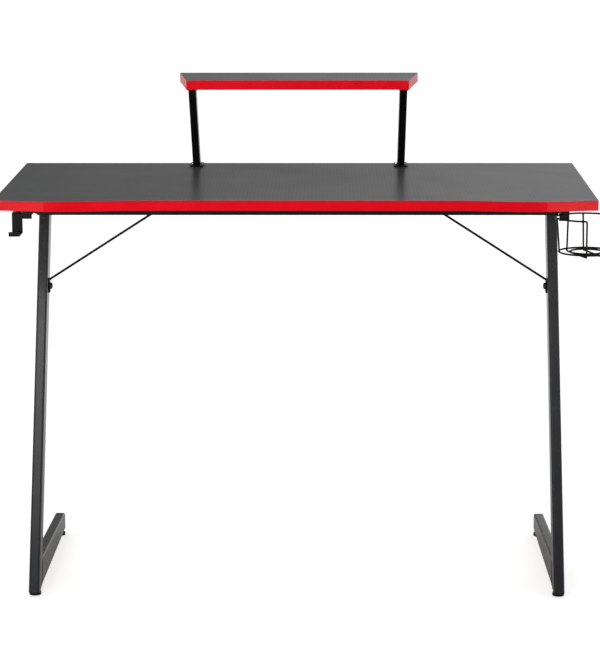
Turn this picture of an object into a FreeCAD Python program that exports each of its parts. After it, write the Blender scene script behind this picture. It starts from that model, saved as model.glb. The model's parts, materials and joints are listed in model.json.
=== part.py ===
import FreeCAD, Part
import math
import os

Vector = FreeCAD.Vector

# All sizes are millimetres. X runs along the desk, Y from the sitter's edge to the back, Z up.

# Desktop board
desk_width = 1100.0             # across the two rear corners
desk_depth = 600.0
desk_height = 750.0             # floor to the working surface
board_thickness = 18.0
edge_band_thickness = 0.5
laminate_thickness = 0.8
side_taper = 12.0               # each front corner lies this much nearer the middle
corner_sweep = 18.0             # each front corner lies this much behind the front line
corner_length = 92.0            # length of the swept stretch along the front
waist_depth = 16.0              # hollow in the front edge where the sitter leans in
waist_slope_length = 102.0
front_land_length = 46.0        # straight stretch between the swept corner and the waist

# Raised monitor shelf
shelf_rear_width = 473.0
shelf_taper = 24.0              # each side, from the rear edge to the front edge
shelf_depth = 195.0
shelf_rise = 184.5              # working surface to the top of the shelf
shelf_setback = 36.0            # shelf's rear edge to the desktop's rear edge

# Shelf posts
shelf_post_inset = 33.25        # post's centre to the side edge of the shelf's rear
shelf_post_width = 14.5
shelf_post_depth = 26.0
shelf_post_wall = 1.2
shelf_post_corner = 2.0
shelf_post_foot_setback = 53.0  # post's foot to the desktop's rear edge
shelf_post_reach = 134.0        # how far the post leans forward from foot to head
shelf_plate_width = 27.0
shelf_plate_length = 58.0
shelf_plate_thickness = 3.0
shelf_plate_corner = 8.0
shelf_screw_spacing = 17.0
shelf_screw_offset = 20.0       # screws to the post's centre, along the plate
shelf_bracket_width = 20.0
shelf_bracket_length = 74.0
shelf_bracket_corner = 5.0
shelf_bracket_offset = 20.0     # plate's middle behind the post's head
shelf_bracket_screw_offsets = (28.0, 46.0)      # screws behind the post's head

# Steel leg frames
leg_spread = 995.0              # across the outer faces of the two leg frames
tube_width = 20.0
tube_depth = 40.0
tube_wall = 1.2
tube_corner = 4.0
post_lean_degrees = 22.8
post_foot_setback = 71.0        # post's front face at its lower end, from the front line
foot_front_height = 50.0        # foot beam at the post
foot_rear_height = 34.0         # foot beam at its free end
foot_rear_reach = 512.0         # foot beam's free end, from the front line
arm_rear_reach = 540.0          # top arm's free end, from the front line
end_plate_thickness = 3.0
cap_thickness = 2.5
cap_plug_length = 4.0
cap_clearance = 0.1

# Cross beams
front_beam_setback = 250.0      # beam's front face, from the front line
rear_beam_end_gap = 15.0        # rear beam to the arms' free ends
beam_wall = 1.5
beam_chamfer = 10.0

# Braces
brace_rod_diameter = 4.5
brace_post_height = 546.0       # height of the bolt in the post
brace_run = 282.0               # how far the brace reaches along the desk
brace_tab_thickness = 3.0
brace_tab_width = 14.0
brace_tab_length = 26.8
brace_bolt_offset = 12.5        # bolt to the tab's free end
brace_bolt_head_diameter = 13.0
brace_bolt_head_height = 4.5

# Levelling glides
glide_height = 9.0
glide_diameter = 22.0
glide_chamfer = 2.0
glide_gap = 0.2                 # glide to the frame when it is screwed home
glide_stem_diameter = 6.0
glide_stem_length = 22.0
glide_rear_setback = 9.0        # rear glide to the foot beam's free end
nut_diameter = 9.0
nut_length = 13.0
running_clearance = 0.05

# Fasteners
frame_bolt_diameter = 6.0
frame_bolt_head_diameter = 10.0
frame_bolt_head_height = 3.4
frame_bolt_spacing = 14.0
frame_bolt_bite = 8.0           # how far a bolt reaches past what it holds
wood_screw_diameter = 4.0
wood_screw_head_diameter = 8.6
wood_screw_head_height = 2.6
wood_screw_bite = 12.0
small_screw_diameter = 4.0
small_screw_head_diameter = 8.0
small_screw_head_height = 2.4
small_screw_bite = 4.0
desk_bolt_inset = 30.0          # bolts through an arm, from the two cross beams
screw_clearance = 0.05
head_rounding_share = 0.8       # of the head's height
socket_width_share = 0.42       # of the head's diameter
socket_depth_share = 0.55       # of the head's height
accessory_screw_shares = (0.25, 0.75)   # along a bracket's stretch on the arm

# Headphone hook
hook_sheet = 2.0
hook_bracket_sheet = 2.5
hook_front_setback = 242.0      # hook's front face, from the front line
hook_strip_width = 20.0
hook_bracket_reach = 17.5       # arm to the hook strip
hook_bracket_drop = 6.2         # bracket below the arm
hook_bracket_height = 42.0
hook_bracket_length = 66.0
hook_flange_length = 36.0
hook_flange_height = 3.0        # hook's top flange above the arm's lower face
hook_drop = 36.0                # top flange to the hook's lip
hook_lip_reach = 50.0
hook_lip_rise = 9.0
hook_bend = 3.0
hook_shelf_gap = 0.1
hook_rivet_shares = (0.4, 0.75) # along the hook's flange
hook_rivet_tail = 1.5           # beyond the bracket

# Wire cup holder
cup_wire_diameter = 3.5
cup_rim_radius = 59.5           # to the middle of the wire
cup_centre_reach = 48.5         # holder's centre, outside the leg frame
cup_centre_setback = 265.0      # holder's centre, from the front line
cup_rim_drop = 6.2              # rim below the arms
cup_ring_drop = 65.0            # lower ring below the rim
cup_ring_radius = 52.4          # to the middle of the wire
cup_inner_radius = 31.5         # small ring on the floor bars, to the middle of the wire
cup_rear_foot_gap = 1.2         # rear legs' feet to the lower ring
cup_bend = 3.0
cup_weld_gap = 0.1
cup_front_leg_degrees = -102.3  # where the rim turns down, from the right, seen from above
cup_right_leg_degrees = -56.5
cup_rear_leg_top_degrees = 91.5
cup_rear_leg_foot_degrees = 91.2
cup_left_leg_top_degrees = 121.0
cup_left_leg_foot_degrees = 135.5
cup_stay_top_degrees = -167.0
cup_stay_foot_degrees = -175.5
cup_bracket_sheet = 2.5
cup_bracket_offset = 41.0       # bracket's front face behind the holder's centre
cup_bracket_width = 19.0
cup_bracket_height = 55.0
cup_bracket_length = 46.0

# One overrun serves every cut that has to pass right through
overrun = 5.0

# An edge counts as running along an axis when this share of its direction does
parallel_share = 0.9
half_turn_degrees = 180.0
quarter_turn_degrees = 90.0
socket_corners = 6

# Places worked out from the sizes above
half_leg_spread = leg_spread / 2
leg_centre_x = half_leg_spread - tube_width / 2
leg_inner_x = half_leg_spread - tube_width
lean = math.tan(math.radians(post_lean_degrees))
post_depth_level = tube_depth / math.cos(math.radians(post_lean_degrees))
desk_underside = desk_height - board_thickness
arm_underside = desk_underside - tube_depth
frame_base = glide_height
shelf_top = desk_height + shelf_rise
shelf_underside = shelf_top - board_thickness
shelf_rear = desk_depth - shelf_setback
front_beam_rear = front_beam_setback + tube_width
rear_beam_setback = arm_rear_reach - rear_beam_end_gap - tube_width
shelf_front_width = shelf_rear_width - 2 * shelf_taper
shelf_post_spacing = shelf_rear_width - 2 * shelf_post_inset
shelf_post_foot_y = desk_depth - shelf_post_foot_setback
shelf_head_y = shelf_post_foot_y - shelf_post_reach
cup_x = half_leg_spread + cup_centre_reach
cup_rim_z = arm_underside - cup_rim_drop
cup_ring_z = cup_rim_z - cup_ring_drop
cup_floor_z = cup_ring_z - cup_wire_diameter - cup_weld_gap
cup_leg_radius = cup_ring_radius + cup_wire_diameter + cup_weld_gap
cup_rear_foot_radius = cup_ring_radius - cup_wire_diameter - cup_rear_foot_gap
cup_reach = cup_x + cup_rim_radius + cup_wire_diameter / 2
cup_bracket_setback = cup_centre_setback + cup_bracket_offset
origin = Vector((cup_reach - desk_width / 2) / 2, desk_depth / 2, 0)
sides = (("left", -1), ("right", 1))
up = Vector(0, 0, 1)
down = Vector(0, 0, -1)
back = Vector(0, 1, 0)


def outward(side):
    return Vector(side, 0, 0)


def post_front(z):
    return post_foot_setback + lean * (z - frame_base)


def post_rear(z):
    return post_front(z) + post_depth_level


def post_middle(z):
    return post_front(z) + post_depth_level / 2


def save(name, shapes):
    shape = shapes if isinstance(shapes, Part.Shape) else Part.makeCompound(shapes)
    placed = shape.copy()
    placed.translate(origin.negative())
    placed.exportStep("parts/" + name + ".step")


def block(low, high):
    return Part.makeBox(high.x - low.x, high.y - low.y, high.z - low.z, low)


def rod(start, direction, length, diameter):
    return Part.makeCylinder(diameter / 2, length, start, direction)


def polygon_wire(points):
    return Part.makePolygon(points + [points[0]])


def prism(points, direction):
    return Part.Face(polygon_wire(points)).extrude(direction)


def mirrored(points):
    return [Vector(-p.x, p.y, p.z) for p in reversed(points)]


def edges_along(shape, axis):
    return [e for e in shape.Edges if abs(e.tangentAt(e.FirstParameter).dot(axis)) > parallel_share]


def rounded_bar(width, depth, length, corner):
    bar = Part.makeBox(width, depth, length, Vector(-width / 2, -depth / 2, 0))
    return bar.makeFillet(corner, edges_along(bar, up))


def rounded_tube(width, depth, length, wall, corner):
    outer = rounded_bar(width, depth, length, corner)
    inner = rounded_bar(width - 2 * wall, depth - 2 * wall, length + 2 * overrun, corner - wall)
    inner.translate(Vector(0, 0, -overrun))
    return outer.cut(inner)


def leaning(shape_maker, foot, head, low, high):
    """A bar or tube along the line from foot to head, cut level at the heights low and high."""
    run = head.sub(foot)
    angle = math.degrees(math.atan2(-run.y, run.z))
    bar = shape_maker(run.Length + 2 * tube_depth)
    bar.translate(Vector(0, 0, -tube_depth))
    bar.rotate(Vector(0, 0, 0), Vector(1, 0, 0), angle)
    bar.translate(foot)
    reach = run.Length + tube_depth
    slab = block(
        Vector(foot.x - tube_depth, foot.y - reach, low),
        Vector(foot.x + tube_depth, foot.y + reach, high),
    )
    return bar.common(slab)


def screw(seat, direction, diameter, head_diameter, head_height, length):
    """A domed socket screw whose head sits on seat and whose shank runs along direction."""
    shank = rod(Vector(0, 0, 0), up, length, diameter)
    head = rod(Vector(0, 0, 0), down, head_height, head_diameter)
    circles = [e for e in head.Edges if isinstance(e.Curve, Part.Circle)]
    crown = [e for e in circles if e.CenterOfMass.z < -head_height / 2]
    head = head.makeFillet(head_rounding_share * head_height, crown)
    socket_depth = socket_depth_share * head_height
    socket_radius = socket_width_share * head_diameter / 2
    corners = []
    for number in range(socket_corners):
        angle = 2 * math.pi * number / socket_corners
        x, y = socket_radius * math.cos(angle), socket_radius * math.sin(angle)
        corners.append(Vector(x, y, -head_height))
    head = head.cut(prism(corners, Vector(0, 0, socket_depth)))
    whole = shank.fuse(head)
    whole.Placement = FreeCAD.Placement(seat, FreeCAD.Rotation(up, direction))
    return whole


def frame_bolt(seat, direction, length):
    head = (frame_bolt_head_diameter, frame_bolt_head_height)
    return screw(seat, direction, frame_bolt_diameter, *head, length)


def wood_screw(seat, direction, length):
    head = (wood_screw_head_diameter, wood_screw_head_height)
    return screw(seat, direction, wood_screw_diameter, *head, length)


def small_screw(seat, direction, length):
    head = (small_screw_head_diameter, small_screw_head_height)
    return screw(seat, direction, small_screw_diameter, *head, length)


def hole(seat, direction, length, diameter):
    """A drilling round a screw's shank, begun a little in front of its seat."""
    start = seat.sub(Vector(direction).multiply(overrun))
    return rod(start, direction, length + overrun + screw_clearance, diameter + 2 * screw_clearance)


# Where the fasteners sit
def shelf_base_seats(side):
    x = side * shelf_post_spacing / 2
    y = shelf_post_foot_y + shelf_screw_offset
    z = desk_height + shelf_plate_thickness
    return [Vector(x + edge * shelf_screw_spacing / 2, y, z) for edge in (-1, 1)]


def shelf_head_seats(side):
    x = side * shelf_post_spacing / 2
    z = shelf_underside - shelf_plate_thickness
    return [Vector(x, shelf_head_y + offset, z) for offset in shelf_bracket_screw_offsets]


def both_sides(seats):
    return [seat for name, side in sides for seat in seats(side)]


desk_bolt_rows = (front_beam_rear + desk_bolt_inset, rear_beam_setback - desk_bolt_inset)
desk_bolt_seats = [Vector(s * leg_centre_x, y, arm_underside) for n, s in sides for y in desk_bolt_rows]
desk_bolt_length = tube_depth + wood_screw_bite
brace_y = post_middle(brace_post_height)
brace_top_x = leg_inner_x - brace_run
brace_screw_z = desk_underside - brace_tab_thickness
brace_screw_seats = [Vector(s * brace_top_x, brace_y, brace_screw_z) for n, s in sides]
brace_screw_length = brace_tab_thickness + wood_screw_bite
shelf_screw_length = shelf_plate_thickness + wood_screw_bite


# Boards
def desk_outline(z):
    corner_x = desk_width / 2 - side_taper
    land_x = corner_x - corner_length
    shoulder_x = land_x - front_land_length
    half = [
        Vector(shoulder_x - waist_slope_length, waist_depth, z),
        Vector(shoulder_x, 0, z),
        Vector(land_x, 0, z),
        Vector(corner_x, corner_sweep, z),
        Vector(desk_width / 2, desk_depth, z),
    ]
    return half + mirrored(half)


def shelf_outline(z):
    half = [
        Vector(shelf_front_width / 2, shelf_rear - shelf_depth, z),
        Vector(shelf_rear_width / 2, shelf_rear, z),
    ]
    return half + mirrored(half)


def board_pieces(outline, top, holes):
    """Core, edge band and top laminate of one board, drilled for the screws that enter it."""
    bottom = top - board_thickness
    rise = Vector(0, 0, board_thickness)
    outer_wire = polygon_wire(outline(bottom))
    inner_wire = outer_wire.makeOffset2D(-edge_band_thickness, 2)
    full = Part.Face(outer_wire).extrude(rise)
    inside = Part.Face(inner_wire).extrude(rise)
    band = full.cut(inside)
    core = Part.Face(inner_wire).extrude(Vector(0, 0, board_thickness - laminate_thickness))
    skin_wire = inner_wire.copy()
    skin_wire.translate(Vector(0, 0, board_thickness - laminate_thickness))
    skin = Part.Face(skin_wire).extrude(Vector(0, 0, laminate_thickness))
    for drilling in holes:
        core = core.cut(drilling)
        skin = skin.cut(drilling)
    return core, band, skin


def make_desktop():
    holes = [hole(p, down, shelf_screw_length, wood_screw_diameter) for p in both_sides(shelf_base_seats)]
    holes += [hole(p, up, desk_bolt_length, frame_bolt_diameter) for p in desk_bolt_seats]
    holes += [hole(p, up, brace_screw_length, wood_screw_diameter) for p in brace_screw_seats]
    core, band, skin = board_pieces(desk_outline, desk_height, holes)
    save("desktop_board", core)
    save("desktop_edge_band", band)
    save("desktop_laminate", skin)


def make_shelf():
    holes = [hole(p, up, shelf_screw_length, wood_screw_diameter) for p in both_sides(shelf_head_seats)]
    core, band, skin = board_pieces(shelf_outline, shelf_top, holes)
    save("shelf_board", core)
    save("shelf_edge_band", band)
    save("shelf_laminate", skin)


# Shelf posts and their plates
def shelf_plate(middle, width, length, corner, seats):
    plate = rounded_bar(width, length, shelf_plate_thickness, corner)
    plate.translate(middle)
    for seat in seats:
        start = Vector(seat.x, seat.y, middle.z - overrun)
        depth = shelf_plate_thickness + 2 * overrun
        plate = plate.cut(rod(start, up, depth, wood_screw_diameter + 2 * screw_clearance))
    return plate


def shelf_base(side):
    middle = Vector(side * shelf_post_spacing / 2, shelf_post_foot_y + shelf_screw_offset / 2, desk_height)
    sizes = (shelf_plate_width, shelf_plate_length, shelf_plate_corner)
    return shelf_plate(middle, *sizes, shelf_base_seats(side))


def shelf_bracket(side):
    y = shelf_head_y + shelf_bracket_offset
    middle = Vector(side * shelf_post_spacing / 2, y, shelf_underside - shelf_plate_thickness)
    sizes = (shelf_bracket_width, shelf_bracket_length, shelf_bracket_corner)
    return shelf_plate(middle, *sizes, shelf_head_seats(side))


def shelf_post_tube(length):
    return rounded_tube(shelf_post_width, shelf_post_depth, length, shelf_post_wall, shelf_post_corner)


def shelf_post(side):
    low = desk_height + shelf_plate_thickness
    high = shelf_underside - shelf_plate_thickness
    foot = Vector(side * shelf_post_spacing / 2, shelf_post_foot_y, low)
    head = Vector(side * shelf_post_spacing / 2, shelf_head_y, high)
    return leaning(shelf_post_tube, foot, head, low, high)


def make_shelf_posts():
    for name, side in sides:
        save(name + "_shelf_post", shelf_post(side))
        save(name + "_shelf_base", shelf_base(side))
        save(name + "_shelf_bracket", shelf_bracket(side))
    base_seats, head_seats = both_sides(shelf_base_seats), both_sides(shelf_head_seats)
    save("shelf_base_screws", [wood_screw(p, down, shelf_screw_length) for p in base_seats])
    save("shelf_bracket_screws", [wood_screw(p, up, shelf_screw_length) for p in head_seats])


# Leg frames
def leg_tube(length):
    return rounded_tube(tube_width, tube_depth, length, tube_wall, tube_corner)


def plug_bar(length):
    inset = tube_wall + cap_clearance
    return rounded_bar(tube_width - 2 * inset, tube_depth - 2 * inset, length, tube_corner - tube_wall)


def make_post(side):
    foot = Vector(side * leg_centre_x, post_middle(frame_base), frame_base)
    head = Vector(side * leg_centre_x, post_middle(arm_underside), arm_underside)
    post = leaning(leg_tube, foot, head, frame_base, arm_underside)
    return post.cut(hole(brace_bolt_seat(side), outward(side), brace_bolt_length, frame_bolt_diameter))


def post_plug(side):
    """Plastic plug in the open lower end of a post, bored for the glide's nut."""
    foot = Vector(side * leg_centre_x, post_middle(frame_base), frame_base)
    head = Vector(side * leg_centre_x, post_middle(arm_underside), arm_underside)
    plug = leaning(plug_bar, foot, head, frame_base, frame_base + nut_length)
    start = front_glide_seat(side).sub(Vector(0, 0, overrun))
    return plug.cut(rod(start, up, nut_length + 2 * overrun, nut_diameter + 2 * running_clearance))


def foot_profile(x, inset, rear):
    """Side view of a foot beam: it butts against the post and tapers to its free end."""
    base = frame_base + inset
    crown = frame_base + foot_front_height - inset
    tail = frame_base + foot_rear_height - inset
    return [
        Vector(x, post_rear(base) + inset, base),
        Vector(x, post_rear(crown) + inset, crown),
        Vector(x, rear, tail),
        Vector(x, rear, base),
    ]


def make_foot(side):
    low_x = side * leg_centre_x - tube_width / 2
    outer = prism(foot_profile(low_x, 0, foot_rear_reach), Vector(tube_width, 0, 0))
    outer = outer.makeFillet(tube_corner, edges_along(outer, back))
    hollow = foot_profile(low_x + tube_wall, tube_wall, foot_rear_reach + overrun)
    hollow = prism(hollow, Vector(tube_width - 2 * tube_wall, 0, 0))
    hollow = hollow.makeFillet(tube_corner - tube_wall, edges_along(hollow, back))
    foot = outer.cut(hollow)
    start = rear_glide_seat(side).sub(Vector(0, 0, overrun))
    return foot.cut(rod(start, up, 2 * overrun, nut_diameter + 2 * running_clearance))


def end_cap(x, rear, low, height):
    """Plastic cap on the open rear end of a tube: a cover plate with a hollow plug."""
    inset = tube_wall + cap_clearance
    cover = block(
        Vector(x - tube_width / 2, rear, low),
        Vector(x + tube_width / 2, rear + cap_thickness, low + height),
    )
    cover = cover.makeFillet(tube_corner, edges_along(cover, back))
    plug = block(
        Vector(x - tube_width / 2 + inset, rear - cap_plug_length, low + inset),
        Vector(x + tube_width / 2 - inset, rear, low + height - inset),
    )
    plug = plug.makeFillet(tube_corner - tube_wall, edges_along(plug, back))
    core = block(
        Vector(x - tube_width / 2 + 2 * inset, rear - cap_plug_length - overrun, low + 2 * inset),
        Vector(x + tube_width / 2 - 2 * inset, rear, low + height - 2 * inset),
    )
    return cover.fuse(plug.cut(core))


def make_arm(side):
    tube = leg_tube(arm_rear_reach - front_beam_rear)
    tube.rotate(Vector(0, 0, 0), Vector(1, 0, 0), -quarter_turn_degrees)
    tube.translate(Vector(side * leg_centre_x, front_beam_rear, desk_underside - tube_depth / 2))
    end_plate = block(
        Vector(side * leg_centre_x - tube_width / 2 + tube_wall, front_beam_rear, arm_underside + tube_wall),
        Vector(
            side * leg_centre_x + tube_width / 2 - tube_wall,
            front_beam_rear + end_plate_thickness,
            desk_underside - tube_wall,
        ),
    )
    arm = tube.fuse(end_plate)
    for seat in front_bolt_seats(side):
        arm = arm.cut(hole(seat, back, front_bolt_length, frame_bolt_diameter))
    for seat in rear_bolt_seats(side):
        arm = arm.cut(hole(seat, outward(-side), rear_bolt_length, frame_bolt_diameter))
    for seat in desk_bolt_seats:
        arm = arm.cut(hole(seat, up, desk_bolt_length, frame_bolt_diameter))
    for seat in accessory_seats(side):
        arm = arm.cut(hole(seat, outward(-side), accessory_screw_length(side), small_screw_diameter))
    return arm


def make_leg_frames():
    for name, side in sides:
        save(name + "_post", make_post(side))
        save(name + "_foot", make_foot(side))
        save(name + "_arm", make_arm(side))
    middles = [side * leg_centre_x for name, side in sides]
    save("foot_end_caps", [end_cap(x, foot_rear_reach, frame_base, foot_rear_height) for x in middles])
    save("arm_end_caps", [end_cap(x, arm_rear_reach, arm_underside, tube_depth) for x in middles])
    save("post_plugs", [post_plug(side) for name, side in sides])


# Cross beams and the bolts that hold the frame together
front_bolt_length = beam_wall + end_plate_thickness + frame_bolt_bite
rear_bolt_length = tube_width + end_plate_thickness + frame_bolt_bite


def bolt_heights():
    middle = desk_underside - tube_depth / 2
    return (middle - frame_bolt_spacing / 2, middle + frame_bolt_spacing / 2)


def front_bolt_seats(side):
    return [Vector(side * leg_centre_x, front_beam_rear - beam_wall, z) for z in bolt_heights()]


def rear_bolt_seats(side):
    y = rear_beam_setback + tube_width / 2
    return [Vector(side * half_leg_spread, y, z) for z in bolt_heights()]


def beam_channel(half_length, front, chamfer):
    """A folded steel channel, open towards the desktop, with its lower corners cut off."""
    low = arm_underside
    high = desk_underside
    profile = [
        Vector(-half_length, front, high),
        Vector(-half_length, front, low + chamfer),
        Vector(-half_length + chamfer, front, low),
        Vector(half_length - chamfer, front, low),
        Vector(half_length, front, low + chamfer),
        Vector(half_length, front, high),
    ]
    solid = prism(profile, Vector(0, tube_width, 0))
    hollow = block(
        Vector(-half_length + end_plate_thickness, front + beam_wall, low + beam_wall),
        Vector(half_length - end_plate_thickness, front + tube_width - beam_wall, high + overrun),
    )
    inner = [
        Vector(-half_length + end_plate_thickness, front + beam_wall, high + overrun),
        Vector(-half_length + end_plate_thickness, front + beam_wall, low + chamfer),
        Vector(-half_length + end_plate_thickness + chamfer, front + beam_wall, low + beam_wall),
        Vector(half_length - end_plate_thickness - chamfer, front + beam_wall, low + beam_wall),
        Vector(half_length - end_plate_thickness, front + beam_wall, low + chamfer),
        Vector(half_length - end_plate_thickness, front + beam_wall, high + overrun),
    ]
    return solid.cut(hollow.common(prism(inner, Vector(0, tube_width - 2 * beam_wall, 0))))


def make_beams():
    front = beam_channel(half_leg_spread, front_beam_setback, beam_chamfer)
    rear = beam_channel(leg_inner_x, rear_beam_setback, beam_wall)
    bolts = []
    for name, side in sides:
        for seat in front_bolt_seats(side):
            front = front.cut(hole(seat, back, front_bolt_length, frame_bolt_diameter))
            bolts.append(frame_bolt(seat, back, front_bolt_length))
        for seat in rear_bolt_seats(side):
            rear = rear.cut(hole(seat, outward(-side), rear_bolt_length, frame_bolt_diameter))
            bolts.append(frame_bolt(seat, outward(-side), rear_bolt_length))
    save("front_beam", front)
    save("rear_beam", rear)
    save("beam_bolts", bolts)
    save("desktop_bolts", [frame_bolt(p, up, desk_bolt_length) for p in desk_bolt_seats])


# Braces from the posts to the desktop
brace_bolt_length = brace_tab_thickness + tube_wall + frame_bolt_bite


def brace_bolt_seat(side):
    return Vector(side * (leg_inner_x - brace_tab_thickness), brace_y, brace_post_height)


def make_brace(side):
    """A round rod with a flattened tab at each end: one on the post, one under the desktop."""
    tab_x = leg_inner_x - brace_tab_thickness
    half_width = brace_tab_width / 2
    post_tab_low = brace_post_height - brace_bolt_offset
    post_tab_high = post_tab_low + brace_tab_length
    post_tab = block(
        Vector(tab_x, brace_y - half_width, post_tab_low),
        Vector(leg_inner_x, brace_y + half_width, post_tab_high),
    )
    desk_tab_end = brace_top_x - brace_bolt_offset
    desk_tab = block(
        Vector(desk_tab_end, brace_y - half_width, desk_underside - brace_tab_thickness),
        Vector(desk_tab_end + brace_tab_length, brace_y + half_width, desk_underside),
    )
    start = Vector(tab_x + brace_tab_thickness / 2, brace_y, post_tab_high - brace_rod_diameter / 2)
    end = Vector(
        desk_tab_end + brace_tab_length - brace_rod_diameter / 2,
        brace_y,
        desk_underside - brace_tab_thickness / 2,
    )
    run = end.sub(start)
    rod_shape = rod(start, run, run.Length, brace_rod_diameter)
    room = block(
        Vector(desk_tab_end, brace_y - tube_depth, post_tab_low),
        Vector(leg_inner_x, brace_y + tube_depth, desk_underside),
    )
    brace = post_tab.fuse([desk_tab, rod_shape.common(room)]).removeSplitter()
    if side < 0:
        brace = brace.mirror(Vector(0, 0, 0), Vector(1, 0, 0))
    seat = brace_bolt_seat(side)
    brace = brace.cut(hole(seat, outward(side), brace_bolt_length, frame_bolt_diameter))
    screw_seat = Vector(side * brace_top_x, brace_y, brace_screw_z)
    return brace.cut(hole(screw_seat, up, brace_screw_length, wood_screw_diameter))


def make_braces():
    for name, side in sides:
        save(name + "_brace", make_brace(side))
    bolts = []
    for name, side in sides:
        head = (brace_bolt_head_diameter, brace_bolt_head_height)
        seat = brace_bolt_seat(side)
        bolts.append(screw(seat, outward(side), frame_bolt_diameter, *head, brace_bolt_length))
    save("brace_bolts", bolts)
    save("brace_screws", [wood_screw(p, up, brace_screw_length) for p in brace_screw_seats])


# Levelling glides
def front_glide_seat(side):
    return Vector(side * leg_centre_x, post_middle(frame_base), frame_base)


def rear_glide_seat(side):
    return Vector(side * leg_centre_x, foot_rear_reach - glide_rear_setback, frame_base)


def glide_pad(seat):
    centre = Vector(seat.x, seat.y, 0)
    height = glide_height - glide_gap
    pad = rod(centre, up, height, glide_diameter)
    pad = pad.makeFillet(glide_chamfer, [e for e in pad.Edges if isinstance(e.Curve, Part.Circle)])
    start = centre.add(Vector(0, 0, height / 2))
    return pad.cut(rod(start, up, height, glide_stem_diameter + 2 * running_clearance))


def glide_stem(seat):
    base = Vector(seat.x, seat.y, (glide_height - glide_gap) / 2)
    return rod(base, up, glide_stem_length, glide_stem_diameter)


def glide_nut(seat):
    nut = rod(seat, up, nut_length, nut_diameter)
    start = seat.sub(Vector(0, 0, overrun))
    return nut.cut(rod(start, up, nut_length + 2 * overrun, glide_stem_diameter + 2 * running_clearance))


def make_glides():
    nuts = []
    for name, side in sides:
        for place, seat in (("front", front_glide_seat(side)), ("rear", rear_glide_seat(side))):
            save(name + "_" + place + "_glide", glide_pad(seat))
            save(name + "_" + place + "_glide_stem", glide_stem(seat))
            nuts.append(glide_nut(seat))
    save("glide_nuts", nuts)


# Headphone hook on the left arm, cup holder on the right arm
def accessory_seats(side):
    sheet = hook_bracket_sheet if side < 0 else cup_bracket_sheet
    front = hook_front_setback if side < 0 else cup_bracket_setback
    length = hook_bracket_length if side < 0 else cup_bracket_length
    x = side * (half_leg_spread + sheet)
    z = desk_underside - tube_depth / 2
    arm_start = max(front, front_beam_rear)
    arm_stretch = front + length - arm_start
    return [Vector(x, arm_start + share * arm_stretch, z) for share in accessory_screw_shares]


def accessory_screw_length(side):
    sheet = hook_bracket_sheet if side < 0 else cup_bracket_sheet
    return sheet + tube_wall + small_screw_bite


def make_hook():
    outer = -half_leg_spread - hook_bracket_reach - hook_strip_width
    inner = -half_leg_spread - hook_bracket_reach
    front = hook_front_setback
    base = arm_underside - hook_bracket_drop
    shelf_high = arm_underside + hook_flange_height - hook_shelf_gap
    sheet = hook_bracket_sheet
    flange = block(
        Vector(-half_leg_spread - sheet, front, shelf_high - sheet),
        Vector(-half_leg_spread, front + hook_bracket_length, base + hook_bracket_height),
    )
    web = block(
        Vector(inner + hook_shelf_gap, front, base),
        Vector(-half_leg_spread, front + sheet, base + hook_bracket_height),
    )
    shelf = block(
        Vector(outer, front + hook_sheet + hook_bend, shelf_high - sheet),
        Vector(-half_leg_spread, front + hook_flange_length, shelf_high),
    )
    bracket = flange.fuse([web, shelf]).removeSplitter()
    rivets = []
    rivet_x = (outer + inner) / 2
    for share in hook_rivet_shares:
        seat = Vector(rivet_x, front + share * hook_flange_length, shelf_high + hook_shelf_gap + hook_sheet)
        rivets.append(seat)
    hook = hook_strip(outer, front, shelf_high + hook_shelf_gap)
    rivet_length = hook_sheet + hook_shelf_gap + sheet + hook_rivet_tail
    for seat in rivets:
        drilling = hole(seat, down, rivet_length, small_screw_diameter)
        hook = hook.cut(drilling)
        bracket = bracket.cut(drilling)
    for seat in accessory_seats(-1):
        bracket = bracket.cut(hole(seat, outward(1), accessory_screw_length(-1), small_screw_diameter))
    save("hook_bracket", bracket)
    save("headphone_hook", hook)
    save("hook_rivets", [small_screw(p, down, rivet_length) for p in rivets])
    length = accessory_screw_length(-1)
    save("hook_screws", [small_screw(p, outward(1), length) for p in accessory_seats(-1)])


def hook_strip(x, front, flange_low):
    """J-shaped strip: a level flange, a drop, a lip that reaches forward and a short upturn."""
    t = hook_sheet
    lip_low = flange_low - hook_drop
    lip_front = front - hook_lip_reach
    profile = [
        Vector(x, front + hook_flange_length, flange_low + t),
        Vector(x, front, flange_low + t),
        Vector(x, front, lip_low + t),
        Vector(x, lip_front + t, lip_low + t),
        Vector(x, lip_front + t, lip_low + hook_lip_rise),
        Vector(x, lip_front, lip_low + hook_lip_rise),
        Vector(x, lip_front, lip_low),
        Vector(x, front + t, lip_low),
        Vector(x, front + t, flange_low),
        Vector(x, front + hook_flange_length, flange_low),
    ]
    strip = prism(profile, Vector(hook_strip_width, 0, 0))
    outer_places = ((front, flange_low + t), (front + t, lip_low), (lip_front, lip_low))
    inner_places = ((front + t, flange_low), (front, lip_low + t), (lip_front + t, lip_low + t))
    strip = strip.makeFillet(hook_bend, bend_edges(strip, outer_places))
    return strip.makeFillet(hook_bend - hook_sheet, bend_edges(strip, inner_places))


def bend_edges(strip, places):
    found = []
    for edge in edges_along(strip, Vector(1, 0, 0)):
        middle = edge.CenterOfMass
        if any(math.hypot(middle.y - y, middle.z - z) < hook_sheet / 2 for y, z in places):
            found.append(edge)
    return found


def make_cup_holder():
    rim = cup_rim_wire()
    middle = Vector(cup_x, cup_centre_setback, cup_ring_z)
    save("cup_rim_wire", rim)
    save("cup_base_ring", Part.makeTorus(cup_ring_radius, cup_wire_diameter / 2, middle, up))
    save("cup_inner_ring", Part.makeTorus(cup_inner_radius, cup_wire_diameter / 2, middle, up))
    save("cup_stay_wire", cup_stay())
    save("cup_bracket", cup_bracket())
    screws = [small_screw(p, outward(-1), accessory_screw_length(1)) for p in accessory_seats(1)]
    save("cup_screws", screws)


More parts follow.
